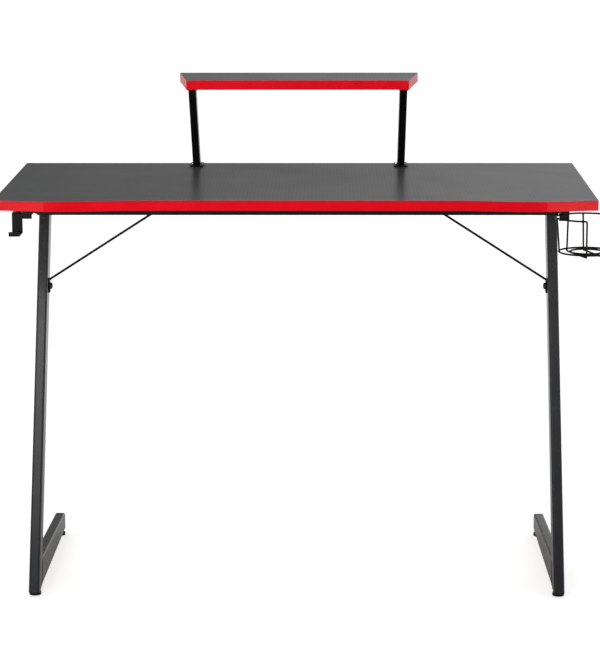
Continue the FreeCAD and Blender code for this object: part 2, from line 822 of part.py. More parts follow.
def cup_point(degrees, radius, z):
    angle = math.radians(degrees)
    return Vector(cup_x + radius * math.cos(angle), cup_centre_setback + radius * math.sin(angle), z)


def rounded_path(points, bend):
    """Edges of straight runs through points, with a tangent arc of one radius at each corner."""
    edges = []
    start = points[0]
    for before, corner, after in zip(points, points[1:], points[2:]):
        to_corner = corner.sub(before).normalize()
        from_corner = after.sub(corner).normalize()
        half_turn = to_corner.getAngle(from_corner) / 2
        cut = bend * math.tan(half_turn)
        arc_start = corner.sub(Vector(to_corner).multiply(cut))
        arc_end = corner.add(Vector(from_corner).multiply(cut))
        inward = Vector(from_corner).sub(to_corner).normalize()
        arc_middle = corner.add(inward.multiply(bend / math.cos(half_turn) - bend))
        if start.distanceToPoint(arc_start) > cup_weld_gap:
            edges.append(Part.LineSegment(start, arc_start).toShape())
        edges.append(Part.Arc(arc_start, arc_middle, arc_end).toShape())
        start = arc_end
    edges.append(Part.LineSegment(start, points[-1]).toShape())
    return edges


def swept_wire(edges, start, direction):
    circle = Part.Circle(start, direction, cup_wire_diameter / 2).toShape()
    path = Part.Wire(edges)
    return path.makePipeShell([Part.Wire([circle])], True, False)


def cup_leg(rim_degrees, turn, foot_degrees, top_degrees):
    """Leg at one end of the rim: down outside the lower ring, along the floor and up inside the ring."""
    end_angle = math.radians(rim_degrees)
    rim_end = cup_point(rim_degrees, cup_rim_radius, cup_rim_z)
    along = Vector(-math.sin(end_angle), math.cos(end_angle), 0).multiply(turn)
    leg_top = rim_end.add(Vector(along).multiply(2 * cup_bend))
    leg_degrees = math.degrees(math.atan2(leg_top.y - cup_centre_setback, leg_top.x - cup_x))
    leg_foot = cup_point(leg_degrees, cup_leg_radius, cup_floor_z)
    rear_foot = cup_point(foot_degrees, cup_rear_foot_radius, cup_floor_z)
    rear_top = cup_point(top_degrees, cup_rim_radius, cup_rim_z - cup_wire_diameter / 2 - cup_weld_gap)
    return rounded_path([rim_end, leg_top, leg_foot, rear_foot, rear_top], cup_bend)


def cup_rim_wire():
    front_leg = cup_leg(cup_front_leg_degrees, 1, cup_left_leg_foot_degrees, cup_left_leg_top_degrees)
    right_leg = cup_leg(cup_right_leg_degrees, -1, cup_rear_leg_foot_degrees, cup_rear_leg_top_degrees)
    first = cup_point(cup_front_leg_degrees, cup_rim_radius, cup_rim_z)
    far_side = (cup_front_leg_degrees + cup_right_leg_degrees) / 2 + half_turn_degrees
    middle = cup_point(far_side, cup_rim_radius, cup_rim_z)
    last = cup_point(cup_right_leg_degrees, cup_rim_radius, cup_rim_z)
    arc = Part.Arc(first, middle, last).toShape()
    edges = Part.__sortEdges__([arc] + front_leg + right_leg)
    start_edge = edges[0]
    start = start_edge.valueAt(start_edge.FirstParameter)
    direction = start_edge.tangentAt(start_edge.FirstParameter)
    return swept_wire(edges, start, direction)


def cup_stay():
    """Short upright between the rim and the lower ring, on the side of the leg frame."""
    gap = cup_wire_diameter / 2 + 3 * cup_weld_gap
    top = cup_point(cup_stay_top_degrees, cup_rim_radius, cup_rim_z - gap)
    foot = cup_point(cup_stay_foot_degrees, cup_ring_radius, cup_ring_z + gap)
    run = foot.sub(top)
    return rod(top, run, run.Length, cup_wire_diameter)


def cup_bracket():
    """Angle plate: one leg flat on the arm, the other carries the rim in a notch."""
    sheet = cup_bracket_sheet
    front = cup_bracket_setback
    high = desk_underside - tube_corner
    flange = block(
        Vector(half_leg_spread, front, arm_underside + tube_corner),
        Vector(half_leg_spread + sheet, front + cup_bracket_length, high),
    )
    web = block(
        Vector(half_leg_spread, front, high - cup_bracket_height),
        Vector(half_leg_spread + cup_bracket_width, front + sheet, high),
    )
    bracket = flange.fuse(web).removeSplitter()
    notch_radius = cup_wire_diameter / 2 + cup_weld_gap
    centre = Vector(cup_x, cup_centre_setback, cup_rim_z)
    bracket = bracket.cut(Part.makeTorus(cup_rim_radius, notch_radius, centre, up))
    for seat in accessory_seats(1):
        bracket = bracket.cut(hole(seat, outward(-1), accessory_screw_length(1), small_screw_diameter))
    return bracket


os.makedirs("parts", exist_ok=True)
make_desktop()
make_shelf()
make_shelf_posts()
make_leg_frames()
make_beams()
make_braces()
make_glides()
make_hook()
make_cup_holder()
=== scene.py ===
import json
import math
import bpy
import bmesh
from mathutils import Matrix, Vector


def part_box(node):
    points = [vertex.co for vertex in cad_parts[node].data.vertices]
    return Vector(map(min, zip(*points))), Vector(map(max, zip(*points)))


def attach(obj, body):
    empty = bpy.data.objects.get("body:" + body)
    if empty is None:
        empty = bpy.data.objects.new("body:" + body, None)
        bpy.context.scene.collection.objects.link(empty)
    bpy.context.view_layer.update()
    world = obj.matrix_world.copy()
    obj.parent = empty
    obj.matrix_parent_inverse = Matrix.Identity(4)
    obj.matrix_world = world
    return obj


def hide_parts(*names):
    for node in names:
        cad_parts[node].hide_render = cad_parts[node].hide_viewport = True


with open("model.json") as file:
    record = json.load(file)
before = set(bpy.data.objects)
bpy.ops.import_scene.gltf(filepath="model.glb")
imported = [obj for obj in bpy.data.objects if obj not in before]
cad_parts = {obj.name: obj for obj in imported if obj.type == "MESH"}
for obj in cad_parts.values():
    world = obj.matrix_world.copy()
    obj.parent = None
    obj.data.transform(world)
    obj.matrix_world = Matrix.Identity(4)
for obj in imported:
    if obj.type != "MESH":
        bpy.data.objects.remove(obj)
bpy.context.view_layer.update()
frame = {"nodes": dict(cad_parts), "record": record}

nodes = frame["nodes"]
slotOf = {part["node"]: part["material_slot"] for part in frame["record"]["subparts"]}
bodyOf = {node: body for body, names in frame["record"]["behaviour"]["bodies"].items() for node in names}
print("frame loaded:", len(nodes), "nodes")

# camera, solved from the corners of the desk in the picture
cameraSetup = {
    "place": (0.0288, -4.4202, 1.2942),
    "turn": 0.0119,
    "dip": 0.1858,
    "tilt": -0.0013,
    "lens": 140.91,
    "sensor": 36.0,
    "farthest": 200,
}


def addCamera(setup):
    turn, dip, tilt = setup["turn"], setup["dip"], setup["tilt"]
    right = Vector((math.cos(turn), math.sin(turn), 0))
    ahead = Vector((-math.sin(turn) * math.cos(dip), math.cos(turn) * math.cos(dip), -math.sin(dip)))
    above = Vector((-math.sin(turn) * math.sin(dip), math.cos(turn) * math.sin(dip), math.cos(dip)))
    sideways = right * math.cos(tilt) + above * math.sin(tilt)
    upward = above * math.cos(tilt) - right * math.sin(tilt)
    data = bpy.data.cameras.new("deskCamera")
    data.sensor_fit = "HORIZONTAL"
    data.sensor_width = setup["sensor"]
    data.lens = setup["lens"]
    data.clip_end = setup["farthest"]
    camera = bpy.data.objects.new("deskCamera", data)
    spin = Matrix((sideways, upward, -ahead)).transposed().to_4x4()
    camera.matrix_world = Matrix.Translation(setup["place"]) @ spin
    bpy.context.scene.collection.objects.link(camera)
    bpy.context.scene.camera = camera


addCamera(cameraSetup)
print("camera set")

# node helpers
def addNode(tree, kind, **values):
    node = tree.nodes.new(kind)
    for key, value in values.items():
        if key in node.inputs:
            node.inputs[key].default_value = value
        else:
            setattr(node, key, value)
    return node


def link(tree, source, target):
    tree.links.new(source, target)


def mathNode(tree, operation, first, second=None, clamp=False):
    node = tree.nodes.new("ShaderNodeMath")
    node.operation = operation
    node.use_clamp = clamp
    for place, value in enumerate((first, second)):
        if value is None:
            continue
        if isinstance(value, (int, float)):
            node.inputs[place].default_value = value
        else:
            link(tree, value, node.inputs[place])
    return node.outputs[0]


# two values added up, the first by its share and the second by the rest
def weigh(tree, first, second, share):
    return mathNode(tree, "ADD", mathNode(tree, "MULTIPLY", first, share),
                    mathNode(tree, "MULTIPLY", second, 1 - share))


def rampNode(tree, factor, stops):
    stops = list(stops)
    node = tree.nodes.new("ShaderNodeValToRGB")
    ramp = node.color_ramp
    while len(ramp.elements) < len(stops):
        ramp.elements.new(0.5)
    for element, (place, colour) in zip(ramp.elements, stops):
        element.position = place
        element.color = colour if len(colour) == 4 else (*colour, 1)
    link(tree, factor, node.inputs["Fac"])
    return node.outputs["Color"]


def rangeNode(tree, value, low, high, fromLow=0.0, fromHigh=1.0):
    node = tree.nodes.new("ShaderNodeMapRange")
    node.inputs["From Min"].default_value = fromLow
    node.inputs["From Max"].default_value = fromHigh
    node.inputs["To Min"].default_value = low
    node.inputs["To Max"].default_value = high
    link(tree, value, node.inputs["Value"])
    return node.outputs["Result"]


def mixColour(tree, factor, first, second):
    node = tree.nodes.new("ShaderNodeMix")
    node.data_type = "RGBA"
    link(tree, factor, node.inputs["Factor"])
    for key, value in (("A", first), ("B", second)):
        socket = [s for s in node.inputs if s.name == key and s.type == "RGBA"][0]
        if isinstance(value, tuple):
            socket.default_value = value if len(value) == 4 else (*value, 1)
        else:
            link(tree, value, socket)
    return [s for s in node.outputs if s.type == "RGBA"][0]


def newGroup(name, inputs, outputs):
    tree = bpy.data.node_groups.new(name, "ShaderNodeTree")
    for key, kind, value in inputs:
        socket = tree.interface.new_socket(key, in_out="INPUT", socket_type=kind)
        if value is not None:
            socket.default_value = value
    for key, kind in outputs:
        tree.interface.new_socket(key, in_out="OUTPUT", socket_type=kind)
    source = tree.nodes.new("NodeGroupInput")
    target = tree.nodes.new("NodeGroupOutput")
    return tree, source.outputs, target.inputs


# studio: pale floor with a glow of its own, soft sky overhead, panels with a narrow spread in front
studio = {
    "floorSize": 120.0,
    "floorColour": (0.8, 0.8, 0.8, 1),
    "floorRoughness": 0.9,
    "floorSeen": 0.70,  # glow that the picture shows
    "floorGlowPaintedShadow": (0.064, 0.64),  # glow that lights the desk: weak under it as a painted shadow of the desk, full out on the open floor
    "paintedShadowReach": (0.4, 2.0),
    "skyByHeight": [(0.0, 1.25), (0.13, 1.0), (0.24, 0.04), (0.45, 0.28), (0.72, 1.0)],
    "skyByTurn": (0.35, 1.75),  # from left to right, near the horizon only
    "turnReach": (-0.13, 0.13),
    "lowSky": (0.13, 0.24),
    "skyInFront": 0.25,
    "frontReach": (-0.85, -0.35),
    "skyPower": 0.7,
    "panels": {
        "leftFill": {"place": (-1.6, -3.0, 0.95), "aim": (-0.35, 0, 0.9), "size": (1.0, 0.8),
                     "power": 2.85, "spread": 32},
        "rightFill": {"place": (1.6, -3.0, 0.95), "aim": (0.35, 0, 0.9), "size": (1.0, 0.8),
                      "power": 1.28, "spread": 32},
        "highPanel": {"place": (-0.96, -3.2, 2.86), "aim": (-0.49, 0, 0.52), "size": (0.6, 1.4),
                      "power": 13.8, "spread": 180},
        "leftStrip": {"place": (-2.3, -2.75, 0.35), "aim": (-0.5, -0.28, 0.8), "size": (0.9, 0.5),
                      "power": 0.38, "spread": 36},
        "rightStrip": {"place": (2.3, -2.75, 0.35), "aim": (0.5, -0.28, 0.8), "size": (0.9, 0.5),
                       "power": 1.35, "spread": 36},
    },
}


def addFloor(setup):
    bm = bmesh.new()
    bmesh.ops.create_grid(bm, x_segments=8, y_segments=8, size=setup["floorSize"] / 2)
    mesh = bpy.data.meshes.new("paleFloor")
    bm.to_mesh(mesh)
    bm.free()
    floor = bpy.data.objects.new("paleFloor", mesh)
    bpy.context.scene.collection.objects.link(floor)
    paint = bpy.data.materials.new("paleFloorPaint")
    paint.use_nodes = True
    tree = paint.node_tree
    shader = tree.nodes["Principled BSDF"]
    shader.inputs["Base Color"].default_value = setup["floorColour"]
    shader.inputs["Roughness"].default_value = setup["floorRoughness"]
    shader.inputs["Specular IOR Level"].default_value = 0.0
    shader.inputs["Emission Color"].default_value = (1, 1, 1, 1)
    # the glow that lights the desk is painted weaker towards the middle, a painted shadow of the desk, while
    # the picture keeps a plain white floor
    reach = addNode(tree, "ShaderNodeVectorMath", operation="LENGTH")
    link(tree, tree.nodes.new("ShaderNodeTexCoord").outputs["Object"], reach.inputs[0])
    paintedShadowGlow = rangeNode(tree, reach.outputs["Value"], *setup["floorGlowPaintedShadow"], *setup["paintedShadowReach"])
    seen = tree.nodes.new("ShaderNodeLightPath").outputs["Is Camera Ray"]
    paintedShadowGlow = mathNode(tree, "MAXIMUM", paintedShadowGlow, mathNode(tree, "MULTIPLY", seen, setup["floorSeen"]))
    link(tree, paintedShadowGlow, shader.inputs["Emission Strength"])
    mesh.materials.append(paint)


def addSky(setup):
    world = bpy.data.worlds.new("softSky")
    bpy.context.scene.world = world
    world.use_nodes = True
    tree = world.node_tree
    sky = tree.nodes["Background"]
    sky.inputs["Color"].default_value = (1, 1, 1, 1)
    where = tree.nodes.new("ShaderNodeTexCoord")
    split = tree.nodes.new("ShaderNodeSeparateXYZ")
    link(tree, where.outputs["Generated"], split.inputs[0])
    height = rampNode(tree, split.outputs["Z"], [(z, (v, v, v)) for z, v in setup["skyByHeight"]])
    turn = rangeNode(tree, split.outputs["X"], *setup["skyByTurn"], *setup["turnReach"])
    low = rangeNode(tree, split.outputs["Z"], 1.0, 0.0, *setup["lowSky"])
    high = mathNode(tree, "SUBTRACT", 1.0, low)
    turned = mathNode(tree, "ADD", mathNode(tree, "MULTIPLY", turn, low), high)
    front = rangeNode(tree, split.outputs["Y"], setup["skyInFront"], 1.0, *setup["frontReach"])
    power = mathNode(tree, "MULTIPLY", mathNode(tree, "MULTIPLY", height, turned), front)
    lit = mathNode(tree, "MULTIPLY", power, setup["skyPower"])
    # the backdrop itself shows plain white
    seen = tree.nodes.new("ShaderNodeLightPath").outputs["Is Camera Ray"]
    lit = mathNode(tree, "MULTIPLY", lit, mathNode(tree, "SUBTRACT", 1.0, seen))
    link(tree, mathNode(tree, "ADD", lit, seen), sky.inputs["Strength"])


def addPanel(name, place, aim, size, power, spread):
    data = bpy.data.lights.new(name, "AREA")
    data.shape = "RECTANGLE"
    data.size, data.size_y = size
    data.energy = power
    data.spread = math.radians(spread)
    panel = bpy.data.objects.new(name, data)
    ahead = Vector(aim) - Vector(place)
    panel.location = place
    panel.rotation_euler = ahead.to_track_quat("-Z", "Y").to_euler()
    bpy.context.scene.collection.objects.link(panel)


addFloor(studio)
addSky(studio)
for name, panel in studio["panels"].items():
    addPanel(name, **panel)
bpy.context.scene.view_settings.view_transform = "Standard"
print("studio lit")


# powder coat: tiny pebbles, and a slow mottle in the shade
grainSetup = {"cellShare": 0.6, "cellDip": -0.8, "mottle": (0.3, 0.7)}


def makePowderGrain(setup):
    tree, source, target = newGroup("powderGrain", [
        ("Place", "NodeSocketVector", None), ("Pebbles", "NodeSocketFloat", 900.0),
    ], [("Height", "NodeSocketFloat"), ("Mottle", "NodeSocketFloat")])
    fine = addNode(tree, "ShaderNodeTexNoise", Detail=3.0, Roughness=0.55)
    link(tree, source["Place"], fine.inputs["Vector"])
    link(tree, source["Pebbles"], fine.inputs["Scale"])
    cell = addNode(tree, "ShaderNodeTexVoronoi", feature="SMOOTH_F1", Smoothness=0.6)
    link(tree, source["Place"], cell.inputs["Vector"])
    link(tree, mathNode(tree, "MULTIPLY", source["Pebbles"], setup["cellShare"]), cell.inputs["Scale"])
    dip = mathNode(tree, "MULTIPLY", cell.outputs["Distance"], setup["cellDip"])
    link(tree, mathNode(tree, "ADD", fine.outputs[0], dip), target["Height"])
    slow = addNode(tree, "ShaderNodeTexNoise", Scale=26.0, Detail=5.0, Roughness=0.6)
    link(tree, source["Place"], slow.inputs["Vector"])
    link(tree, rangeNode(tree, slow.outputs[0], 0.0, 1.0, *setup["mottle"]), target["Mottle"])
    return tree


# rub marks: cloudy smears and hair scratches
marksSetup = {"smear": (0.35, 0.72), "scratch": (0.68, 0.76)}


def makeHandMarks(setup):
    tree, source, target = newGroup("handMarks", [
        ("Place", "NodeSocketVector", None), ("Spread", "NodeSocketFloat", 7.0),
    ], [("Smear", "NodeSocketFloat"), ("Scratch", "NodeSocketFloat")])
    cloud = addNode(tree, "ShaderNodeTexNoise", Detail=6.0, Roughness=0.62, Distortion=0.6)
    link(tree, source["Place"], cloud.inputs["Vector"])
    link(tree, source["Spread"], cloud.inputs["Scale"])
    link(tree, rangeNode(tree, cloud.outputs[0], 0.0, 1.0, *setup["smear"]), target["Smear"])
    turned = addNode(tree, "ShaderNodeMapping", Rotation=(0.3, 0.2, 0.7), Scale=(420.0, 9.0, 60.0))
    link(tree, source["Place"], turned.inputs["Vector"])
    hair = addNode(tree, "ShaderNodeTexNoise", Scale=1.0, Detail=2.0, Roughness=0.4)
    link(tree, turned.outputs[0], hair.inputs["Vector"])
    link(tree, rangeNode(tree, hair.outputs[0], 0.0, 1.0, *setup["scratch"]), target["Scratch"])
    return tree


# dust that settles on faces which look up
dustSetup = {"facing": (0.55, 1.0), "patch": (0.42, 0.75)}


def makeRestingDust(setup):
    tree, source, target = newGroup("restingDust", [
        ("Place", "NodeSocketVector", None), ("Facing", "NodeSocketVector", None),
        ("Amount", "NodeSocketFloat", 0.3),
    ], [("Mask", "NodeSocketFloat")])
    split = tree.nodes.new("ShaderNodeSeparateXYZ")
    link(tree, source["Facing"], split.inputs[0])
    level = rangeNode(tree, split.outputs["Z"], 0.0, 1.0, *setup["facing"])
    speck = addNode(tree, "ShaderNodeTexNoise", Scale=70.0, Detail=8.0, Roughness=0.75)
    link(tree, source["Place"], speck.inputs["Vector"])
    patch = rangeNode(tree, speck.outputs[0], 0.0, 1.0, *setup["patch"])
    mask = mathNode(tree, "MULTIPLY", level, patch)
    link(tree, mathNode(tree, "MULTIPLY", mask, source["Amount"], True), target["Mask"])
    return tree


# woven print of the laminate: each strand goes over two and under two
twillSetup = {"repeat": 4.0, "over": 1.5, "fibresAcross": 2600.0, "fibresAlong": 160.0,
              "warpShade": 0.25, "fibreShade": 0.45, "edgeShade": 0.3}


def makeTwillPrint(setup):
    tree, source, target = newGroup("twillPrint", [
        ("Place", "NodeSocketVector", None), ("Strands", "NodeSocketFloat", 145.0),
    ], [("Height", "NodeSocketFloat"), ("Shade", "NodeSocketFloat"), ("Gap", "NodeSocketFloat")])
    split = tree.nodes.new("ShaderNodeSeparateXYZ")
    link(tree, source["Place"], split.inputs[0])
    across = mathNode(tree, "MULTIPLY", split.outputs["X"], source["Strands"])
    along = mathNode(tree, "MULTIPLY", split.outputs["Y"], source["Strands"])
    column = mathNode(tree, "FLOOR", across)
    row = mathNode(tree, "FLOOR", along)
    step = mathNode(tree, "FLOORED_MODULO", mathNode(tree, "ADD", column, row), setup["repeat"])
    warp = mathNode(tree, "LESS_THAN", step, setup["over"])
    weft = mathNode(tree, "SUBTRACT", 1.0, warp)
    acrossWave = mathNode(tree, "SINE", mathNode(tree, "MULTIPLY", mathNode(tree, "FRACT", across), math.pi))
    alongWave = mathNode(tree, "SINE", mathNode(tree, "MULTIPLY", mathNode(tree, "FRACT", along), math.pi))
    height = mathNode(tree, "ADD", mathNode(tree, "MULTIPLY", warp, acrossWave),
                      mathNode(tree, "MULTIPLY", weft, alongWave))
    link(tree, height, target["Height"])
    # fine fibres run along each strand
    fibres = []
    fine, long = setup["fibresAcross"], setup["fibresAlong"]
    for mask, scale in ((warp, (fine, long, 1.0)), (weft, (long, fine, 1.0))):
        stretch = addNode(tree, "ShaderNodeMapping", Scale=scale)
        link(tree, source["Place"], stretch.inputs["Vector"])
        fibre = addNode(tree, "ShaderNodeTexNoise", Scale=1.0, Detail=2.0)
        link(tree, stretch.outputs[0], fibre.inputs["Vector"])
        fibres.append(mathNode(tree, "MULTIPLY", fibre.outputs[0], mask))
    fibre = mathNode(tree, "ADD", *fibres)
    shade = mathNode(tree, "ADD", mathNode(tree, "MULTIPLY", warp, setup["warpShade"]),
                     mathNode(tree, "MULTIPLY", fibre, setup["fibreShade"]))
    edge = mathNode(tree, "MULTIPLY", acrossWave, setup["edgeShade"])
    link(tree, mathNode(tree, "ADD", shade, edge), target["Shade"])
    link(tree, mathNode(tree, "SUBTRACT", 1.0, acrossWave), target["Gap"])
    return tree


powderGrain = makePowderGrain(grainSetup)
handMarks = makeHandMarks(marksSetup)
restingDust = makeRestingDust(dustSetup)
twillPrint = makeTwillPrint(twillSetup)
print("node groups built")


def startMaterial(name):
    material = bpy.data.materials.new(name)
    material.use_nodes = True
    tree = material.node_tree
    place = tree.nodes.new("ShaderNodeTexCoord").outputs["Object"]
    return material, tree, tree.nodes["Principled BSDF"], place


def useGroup(tree, group, place, **values):
    node = tree.nodes.new("ShaderNodeGroup")
    node.node_tree = group
    link(tree, place, node.inputs["Place"])
    for key, value in values.items():
        node.inputs[key].default_value = value
    return node.outputs


def useDust(tree, place, amount):
    node = tree.nodes.new("ShaderNodeGroup")
    node.node_tree = restingDust
    facing = tree.nodes.new("ShaderNodeNewGeometry").outputs["Normal"]
    link(tree, place, node.inputs["Place"])
    link(tree, facing, node.inputs["Facing"])
    node.inputs["Amount"].default_value = amount
    return node.outputs["Mask"]


def addBump(tree, shader, height, strength, distance):
    bump = addNode(tree, "ShaderNodeBump", Strength=strength, Distance=distance)
    link(tree, height, bump.inputs["Height"])
    link(tree, bump.outputs["Normal"], shader.inputs["Normal"])


laminateLook = {"dark": (0.061, 0.062, 0.064), "light": (0.098, 0.099, 0.102), "stops": (0.1, 0.95),
                "dust": (0.30, 0.30, 0.29), "dustAmount": 0.05, "strands": 144.9, "smearSize": 5.0,
                "gloss": (0.30, 0.34), "gapGloss": 0.016, "scratchGloss": 0.05, "shine": 0.22,
                "bump": 0.25, "bumpDepth": 0.0003}


def makeLaminate(look):
    material, tree, shader, place = startMaterial("darkLaminate")
    weave = useGroup(tree, twillPrint, place, Strands=look["strands"])
    marks = useGroup(tree, handMarks, place, Spread=look["smearSize"])
    colour = rampNode(tree, weave["Shade"], zip(look["stops"], (look["dark"], look["light"])))
    colour = mixColour(tree, useDust(tree, place, look["dustAmount"]), colour, look["dust"])
    link(tree, colour, shader.inputs["Base Color"])
    gloss = rangeNode(tree, marks["Smear"], *look["gloss"])
    gloss = mathNode(tree, "ADD", gloss, mathNode(tree, "MULTIPLY", marks["Scratch"], look["scratchGloss"]))
    gloss = mathNode(tree, "ADD", gloss, mathNode(tree, "MULTIPLY", weave["Gap"], look["gapGloss"]))
    link(tree, gloss, shader.inputs["Roughness"])
    shader.inputs["Specular IOR Level"].default_value = look["shine"]
    addBump(tree, shader, weave["Height"], look["bump"], look["bumpDepth"])
    return material


bandLook = {"deep": (0.47, 0.0005, 0.005), "bright": (0.53, 0.0010, 0.008), "stops": (0.15, 0.75),
            "streaks": (3.0, 3.0, 1400.0), "streakShare": 0.5, "smearSize": 16.0, "worn": (0.9, 0.25, 0.22),
            "scratch": 0.02, "gloss": (0.28, 0.33), "shine": 0.048, "bump": 0.01, "bumpDepth": 0.0002}


def makeRedBand(look):
    material, tree, shader, place = startMaterial("redBand")
    stretch = addNode(tree, "ShaderNodeMapping", Scale=look["streaks"])
    link(tree, place, stretch.inputs["Vector"])
    streak = addNode(tree, "ShaderNodeTexNoise", Scale=1.0, Detail=4.0, Roughness=0.6)
    link(tree, stretch.outputs[0], streak.inputs["Vector"])
    marks = useGroup(tree, handMarks, place, Spread=look["smearSize"])
    tone = weigh(tree, streak.outputs[0], marks["Smear"], look["streakShare"])
    colour = rampNode(tree, tone, zip(look["stops"], (look["deep"], look["bright"])))
    scratch = mathNode(tree, "MULTIPLY", marks["Scratch"], look["scratch"])
    colour = mixColour(tree, scratch, colour, look["worn"])
    link(tree, colour, shader.inputs["Base Color"])
    link(tree, rangeNode(tree, marks["Smear"], *look["gloss"]), shader.inputs["Roughness"])
    shader.inputs["Specular IOR Level"].default_value = look["shine"]
    addBump(tree, shader, streak.outputs[0], look["bump"], look["bumpDepth"])
    return material


boardLook = {"flakes": [(0.0, (0.20, 0.13, 0.075)), (0.4, (0.40, 0.29, 0.18)), (0.7, (0.50, 0.38, 0.25)),
                        (1.0, (0.62, 0.50, 0.35))],
             "flakeTurn": (0, 0, 0.5), "flakeStretch": (1.0, 2.2, 1.4), "flakeCount": 210.0,
             "flakeShare": 0.75, "grit": 900.0, "gloss": (0.7, 0.95), "bump": 0.35, "bumpDepth": 0.0004}


def makeParticleBoard(look):
    material, tree, shader, place = startMaterial("particleBoard")
    stretch = addNode(tree, "ShaderNodeMapping", Rotation=look["flakeTurn"], Scale=look["flakeStretch"])
    link(tree, place, stretch.inputs["Vector"])
    flake = addNode(tree, "ShaderNodeTexVoronoi", Scale=look["flakeCount"], Randomness=1.0)
    link(tree, stretch.outputs[0], flake.inputs["Vector"])
    grey = tree.nodes.new("ShaderNodeRGBToBW")
    link(tree, flake.outputs["Color"], grey.inputs[0])
    grit = addNode(tree, "ShaderNodeTexNoise", Scale=look["grit"], Detail=3.0)
    link(tree, place, grit.inputs["Vector"])
    tone = weigh(tree, grey.outputs[0], grit.outputs[0], look["flakeShare"])
    link(tree, rampNode(tree, tone, look["flakes"]), shader.inputs["Base Color"])
    link(tree, rangeNode(tree, grit.outputs[0], *look["gloss"]), shader.inputs["Roughness"])
    addBump(tree, shader, tone, look["bump"], look["bumpDepth"])
    return material


def makePaint(name, look):
    material, tree, shader, place = startMaterial(name)
    grain = useGroup(tree, powderGrain, place, Pebbles=look["pebbles"])
    marks = useGroup(tree, handMarks, place, Spread=look["smearSize"])
    colour = rampNode(tree, grain["Mottle"], [(0.0, look["dark"]), (1.0, look["light"])])
    # scuffs from shoes low on the frame
    split = tree.nodes.new("ShaderNodeSeparateXYZ")
    link(tree, place, split.inputs[0])
    low = rangeNode(tree, split.outputs["Z"], 1.0, 0.0, *look["scuffReach"])
    scuff = mathNode(tree, "MULTIPLY", mathNode(tree, "MULTIPLY", low, marks["Scratch"], True), look["scuff"])
    colour = mixColour(tree, scuff, colour, look["worn"])
    colour = mixColour(tree, useDust(tree, place, look["dustAmount"]), colour, look["dust"])
    link(tree, colour, shader.inputs["Base Color"])
    link(tree, rangeNode(tree, marks["Smear"], *look["gloss"]), shader.inputs["Roughness"])
    shader.inputs["Specular IOR Level"].default_value = look["shine"]
    addBump(tree, shader, grain["Height"], look["bump"], look["bumpDepth"])
    return material


frameLook = {"dark": (0.026, 0.0266, 0.0288), "light": (0.034, 0.0348, 0.0376), "worn": (0.10, 0.10, 0.10),
             "dust": (0.25, 0.24, 0.23), "dustAmount": 0.04, "scuff": 0.12, "scuffReach": (0.02, 0.22),
             "smearSize": 11.0, "gloss": (0.26, 0.29), "shine": 0.42, "pebbles": 1100.0, "bump": 0.12,
             "bumpDepth": 0.0002}
# black paint: the own black of the shelf posts, hook and cup holder; the beams under the desktop take it too,
# and there its near-black is painted shade in place of the legs' frame paint
blackLook = {"dark": (0.0022, 0.0022, 0.0023), "light": (0.0042, 0.0042, 0.0044), "worn": (0.08, 0.08, 0.08),
             "dust": (0.25, 0.24, 0.23), "dustAmount": 0.03, "scuff": 0.3, "scuffReach": (0.02, 0.22),
             "smearSize": 11.0, "gloss": (0.26, 0.36), "shine": 0.08, "pebbles": 1300.0, "bump": 0.15,
             "bumpDepth": 0.0002}


# the plating's grain is the same on black and on bright screws
screwPlating = {"smearSize": 140.0, "smearShare": 0.6, "stops": (0.1, 0.9), "pebbles": 2600.0,
                "bump": 0.15, "bumpDepth": 0.0001}


def makeScrewSteel(name, look):
    material, tree, shader, place = startMaterial(name)
    marks = useGroup(tree, handMarks, place, Spread=screwPlating["smearSize"])
    grain = useGroup(tree, powderGrain, place, Pebbles=screwPlating["pebbles"])
    tone = weigh(tree, marks["Smear"], grain["Mottle"], screwPlating["smearShare"])
    stops = zip(screwPlating["stops"], (look["dark"], look["light"]))
    link(tree, rampNode(tree, tone, stops), shader.inputs["Base Color"])
    link(tree, rangeNode(tree, marks["Smear"], *look["gloss"]), shader.inputs["Roughness"])
    shader.inputs["Metallic"].default_value = look["metal"]
    addBump(tree, shader, grain["Height"], screwPlating["bump"], screwPlating["bumpDepth"])
    return material


blackScrewLook = {"dark": (0.012, 0.012, 0.013), "light": (0.035, 0.035, 0.037), "gloss": (0.30, 0.48),
                  "metal": 0.55}
brightScrewLook = {"dark": (0.42, 0.43, 0.44), "light": (0.66, 0.67, 0.68), "gloss": (0.22, 0.40),
                   "metal": 1.0}
plasticLook = {"dark": (0.010, 0.010, 0.010), "light": (0.022, 0.022, 0.022), "dust": (0.22, 0.21, 0.20),
               "dustAmount": 0.15, "smearSize": 40.0, "gloss": (0.48, 0.62), "pebbles": 1900.0,
               "bump": 0.3, "bumpDepth": 0.0002}


def makePlastic(look):
    material, tree, shader, place = startMaterial("blackPlastic")
    grain = useGroup(tree, powderGrain, place, Pebbles=look["pebbles"])
    marks = useGroup(tree, handMarks, place, Spread=look["smearSize"])
    colour = rampNode(tree, grain["Mottle"], [(0.0, look["dark"]), (1.0, look["light"])])
    colour = mixColour(tree, useDust(tree, place, look["dustAmount"]), colour, look["dust"])
    link(tree, colour, shader.inputs["Base Color"])
    link(tree, rangeNode(tree, marks["Smear"], *look["gloss"]), shader.inputs["Roughness"])
    addBump(tree, shader, grain["Height"], look["bump"], look["bumpDepth"])
    return material


materials = {
    "dark_laminate": makeLaminate(laminateLook),
    "red_edge": makeRedBand(bandLook),
    "board": makeParticleBoard(boardLook),
    "frame_paint": makePaint("framePaint", frameLook),
    "black_paint": makePaint("blackPaint", blackLook),
    "black_screw": makeScrewSteel("blackScrew", blackScrewLook),
    "bright_screw": makeScrewSteel("brightScrew", brightScrewLook),
    "black_plastic": makePlastic(plasticLook),
}
for name, node in nodes.items():
    node.data.materials.clear()
    node.data.materials.append(materials[slotOf[name]])
print("materials placed:", len(materials))

